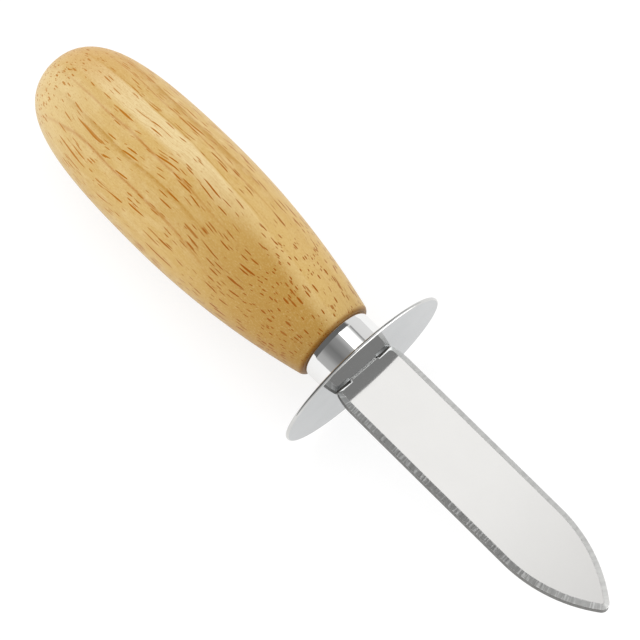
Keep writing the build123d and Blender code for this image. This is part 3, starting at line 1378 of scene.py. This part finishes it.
@dataclass(frozen=True)
class Studio:
    """A pale table in a light room, with grey panels and one lamp box that only the metal shows.

    The panels are bands round the x axis. Their angle is counted from straight up towards -y, and x is the
    first part of a direction, from -1 behind the butt to 1 ahead of the tip. A pair of these says where
    something starts and where it is full.
    """

    table_size: float = 6.0
    table_color: Color = grey(0.80)
    table_shown_color: Color = grey(0.26)
    table_shown_glow: float = 0.80
    wall_light: float = 1.38
    ceiling_light: float = 0.68
    ceiling_heights: Pair = (0.45, 0.85)
    lamp_level: float = 0.45
    lamp_spread: float = radians(40)
    lamp_from: Triple = (-0.45, 0.10, 0.88)

    # The bands, by their angle in degrees and their level. They dim a little ahead of the knife.
    bands: tuple[Pair, ...] = (
        (-180, 0.90), (-125, 0.90), (-95, 0.45), (-88, 0.84), (-50, 0.80), (-41, 0.70), (-5, 0.55),
        (10, 0.30), (22, 0.27), (36, 0.19), (52, 0.25), (68, 0.44), (88, 0.50), (97, 0.50), (103, 0.90),
        (180, 0.90),
    )
    dimming_x: Range = (-0.05, 0.25, 1.0, 0.80)

    # A dark gap between two of them
    gap_angle: float = radians(-45.5)
    gap_width: Pair = (radians(4.5), radians(1))
    gap_x: Pair = (-0.24, -0.21)
    gap_level: float = 0.45

    # The lamp box over the knife, brighter on its upper side
    box_angle: float = radians(-22)
    box_half_height: float = radians(17.5)
    box_near_x: Pair = (-0.112, -0.20)
    box_far_x: Pair = (-0.33, -0.31)
    box_light: float = 0.73
    bright_light: float = 2.2
    bright_from: float = radians(-15)
    soft_edge: float = radians(2.5)

    # The dark end of the room behind the butt, which one panel reaches further into
    behind_light: float = 0.14
    behind_x: Pair = (-0.45, -0.60)
    behind_side_x: Pair = (-0.30, -0.335)
    behind_side_angle: Pair = (radians(-52), radians(-42))

    # More light ahead of the guard on both sides of the lamp box, and the bright end of the room
    ahead_light: float = 0.50
    ahead_x: Pair = (0.05, 0.20)
    ahead_angle: float = radians(-18.5)
    ahead_width: Pair = (radians(16), radians(26))
    end_light: float = 3.4
    end_x: Pair = (0.40, 0.60)
    end_angle: Pair = (radians(-22), radians(-36))

    @staticmethod
    def sight(bench: Bench) -> tuple[NodeSocket, NodeSocket]:
        """Tells what is looked at from what metal and glass show.

        Args:
            bench: The bench of the table or the room.

        Returns:
            Two switches: 1 for what the camera sees itself, and 1 for what metal or glass shows.
        """
        rays = bench.node("ShaderNodeLightPath").outputs
        mirrored = bench.math("MAXIMUM", rays["Is Glossy Ray"], rays["Is Transmission Ray"])
        return rays["Is Camera Ray"], mirrored

    def table(self) -> Object:
        """The level table, white to the camera and to the metal, that keeps the knife's shadow.

        Returns:
            The table.
        """
        half = self.table_size / 2
        mesh = bpy.data.meshes.new("pale_table")
        corners = [(-half, -half, 0.0), (half, -half, 0.0), (half, half, 0.0), (-half, half, 0.0)]
        mesh.from_pydata(corners, [], [[0, 1, 2, 3]])
        bench = Bench.for_material("table_paper")
        seen, mirrored = self.sight(bench)
        shown = bench.math("MAXIMUM", seen, mirrored)
        paper = bench.blend(shown, self.table_color, self.table_shown_color)
        matt = bench.node("ShaderNodeBsdfDiffuse", {"Color": paper}).outputs[0]
        glow = bench.times(shown, self.table_shown_glow)
        light = bench.node("ShaderNodeEmission", {"Strength": glow}).outputs[0]
        both = bench.node("ShaderNodeAddShader", {0: matt, 1: light}).outputs[0]
        bench.feed(bench.standing("Material Output").inputs["Surface"], both)
        mesh.materials.append(bench.owner)
        table = bpy.data.objects.new("pale_table", mesh)
        bpy.context.scene.collection.objects.link(table)
        return table

    def panels(self, bench: Bench) -> NodeSocket:
        """What the metal shows of the room.

        The lamp box is a bright stretch of one band, and soft at both ends. The end of the room behind the
        butt is dark. The end ahead of the tip is bright on the +y side and shows the bands elsewhere.

        Args:
            bench: The bench of the room.

        Returns:
            The brightness in each direction.
        """
        x, y, z = bench.axes(bench.node("ShaderNodeTexCoord").outputs["Generated"])
        angle = bench.math("ARCTAN2", bench.times(y, -1.0), z)
        shares = [((degrees + 180) / 360, grey(level)) for degrees, level in self.bands]
        walls = bench.times(bench.ramp(bench.share(angle, -pi, pi), shares), bench.band(x, *self.dimming_x))
        in_gap = bench.band(bench.apart(angle, self.gap_angle), *self.gap_width)
        gap = bench.times(in_gap, bench.band(x, *self.gap_x))
        walls = bench.times(walls, bench.band(gap, 0.0, 1.0, 1.0, self.gap_level))

        half, edge = self.box_half_height, self.soft_edge
        high = bench.band(bench.apart(angle, self.box_angle), half, half - edge)
        long = bench.times(bench.share(x, *self.box_near_x), bench.band(x, *self.box_far_x))
        levels = (self.box_light, self.bright_light)
        box = bench.times(high, long, bench.band(angle, self.bright_from, self.bright_from + edge, *levels))

        side = bench.times(bench.band(x, *self.behind_side_x), bench.band(angle, *self.behind_side_angle))
        behind = bench.math("MAXIMUM", side, bench.band(x, *self.behind_x))
        walls = bench.blend(behind, walls, grey(self.behind_light))
        beside = bench.band(bench.apart(angle, self.ahead_angle), *self.ahead_width)
        ahead = bench.times(bench.band(x, *self.ahead_x), beside, self.ahead_light)
        lit = bench.math("ADD", bench.math("ADD", walls, box), ahead)
        end = bench.times(bench.band(x, *self.end_x), bench.band(angle, *self.end_angle))
        return bench.blend(end, lit, grey(self.end_light))

    def surround(self) -> None:
        """The room: white to the camera, panels to the metal, and else light walls and a dimmer ceiling."""
        world = bpy.data.worlds.new("studio_room")
        world.cycles.sampling_method = "NONE"
        bpy.context.scene.world = world
        bench = Bench(world)
        height = bench.axes(bench.node("ShaderNodeTexCoord").outputs["Generated"])[2]
        plain = bench.band(height, *self.ceiling_heights, self.wall_light, self.ceiling_light)
        seen, mirrored = self.sight(bench)
        level = bench.blend(mirrored, plain, self.panels(bench))
        background = bench.standing("Background")
        bench.feed(background.inputs["Color"], grey(1.0))
        bench.feed(background.inputs["Strength"], bench.blend(seen, level, grey(1.0)))

    def lamp(self) -> None:
        """One broad soft lamp high over the butt, for the handle's form and the shadow on the table."""
        data = bpy.data.lights.new("broad_lamp", "SUN")
        data.energy = self.lamp_level
        data.angle = self.lamp_spread
        lamp = bpy.data.objects.new("broad_lamp", data)
        lamp.rotation_mode = "QUATERNION"
        lamp.rotation_quaternion = Vector(self.lamp_from).to_track_quat("Z", "Y")
        lamp.visible_glossy = False
        bpy.context.scene.collection.objects.link(lamp)

    def build(self) -> None:
        """Sets up table, room and lamp."""
        self.table()
        self.surround()
        self.lamp()
        bpy.context.scene.view_settings.view_transform = "Standard"


@dataclass(frozen=True)
class PhotoCamera:
    """The camera at the photograph's place: far away with a long lens, looking down on the knife.

    Its direction is given by azimuth and elevation, plus a roll to the left. The middle of the guard's front
    face shows at guard_pixel of a square picture, and pixel_size is what one pixel shows there.
    """

    seat: Seat
    azimuth: float = radians(38.57)
    elevation: float = radians(66.83)
    roll: float = radians(8.25)
    distance: float = 1.0
    pixel_size: float = 0.2 * MM
    picture_width: int = 640
    guard_pixel: Pair = (363.6, 370.4)
    sensor_width: float = 36.0
    clip_start: float = 0.01
    clip_end: float = 50.0

    def build(self) -> Object:
        """The camera, turned and placed.

        Returns:
            The new object.
        """
        back = Vector((
            sin(self.azimuth) * cos(self.elevation),
            -cos(self.azimuth) * cos(self.elevation),
            sin(self.elevation),
        ))
        level_up = (Vector((0, 0, 1)) - back * back.z).normalized()
        level_right = level_up.cross(back)
        up = level_up * cos(self.roll) - level_right * sin(self.roll)
        right = up.cross(back)
        half = self.picture_width / 2
        aside = (self.guard_pixel[0] - half) * self.pixel_size
        below = (self.guard_pixel[1] - half) * self.pixel_size
        guard = Vector((self.seat.guard_front, 0.0, self.seat.axis_height))
        data = bpy.data.cameras.new("photo_camera")
        data.sensor_width = self.sensor_width
        data.lens = self.sensor_width * self.distance / (self.pixel_size * self.picture_width)
        data.clip_start, data.clip_end = self.clip_start, self.clip_end
        camera = bpy.data.objects.new("photo_camera", data)
        place = guard - right * aside + up * below + back * self.distance
        camera.matrix_world = Matrix.Translation(place) @ Matrix((right, up, back)).transposed().to_4x4()
        bpy.context.scene.collection.objects.link(camera)
        bpy.context.scene.camera = camera
        return camera


def main() -> None:
    """Loads the frame, builds the pieces round it, and sets up the table, the light and the camera."""
    logging.basicConfig(level=logging.INFO, format="%(name)s: %(message)s")
    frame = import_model()
    handle_low, handle_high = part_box("handle")
    guard_low, guard_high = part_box("guard")
    ferrule_low, ferrule_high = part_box("ferrule")
    blade_low, blade_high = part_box("blade")
    seat = Seat(guard_front=guard_high.x, axis_height=(handle_low.z + handle_high.z) / 2)
    joint_x = ferrule_low.x - seat.guard_front

    pieces = [
        Handle(
            seat,
            joint_x=joint_x,
            butt_x=handle_low.x - seat.guard_front,
            tenon_end_x=handle_high.x - seat.guard_front,
            belly_radius=(handle_high.z - handle_low.z) / 2,
        ).build(),
        Ferrule(
            seat,
            joint_x=joint_x,
            front_x=ferrule_high.x - seat.guard_front,
            back_radius=8.4 * MM,
        ).build(),
        Guard(
            seat,
            half_width=(guard_high.y - guard_low.y) / 2,
            half_height=(guard_high.z - guard_low.z) / 2,
            thickness=guard_high.x - guard_low.x,
        ).build(),
        Blade(
            seat,
            reach=blade_high.x - seat.guard_front,
            half_width=(blade_high.y - blade_low.y) / 2,
            half_thickness=(blade_high.z - blade_low.z) / 2,
            tang_end_x=blade_low.x - seat.guard_front,
        ).build(),
    ]
    bond = frame["nodes"]["tang_bond"]
    bond.data.materials.clear()
    bond.data.materials.append(CuredEpoxy(seat).material())
    for piece in pieces:
        LOG.info("%s: %d faces", piece.name, len(piece.data.polygons))

    Studio().build()
    PhotoCamera(seat).build()


if __name__ == "__main__":
    main()
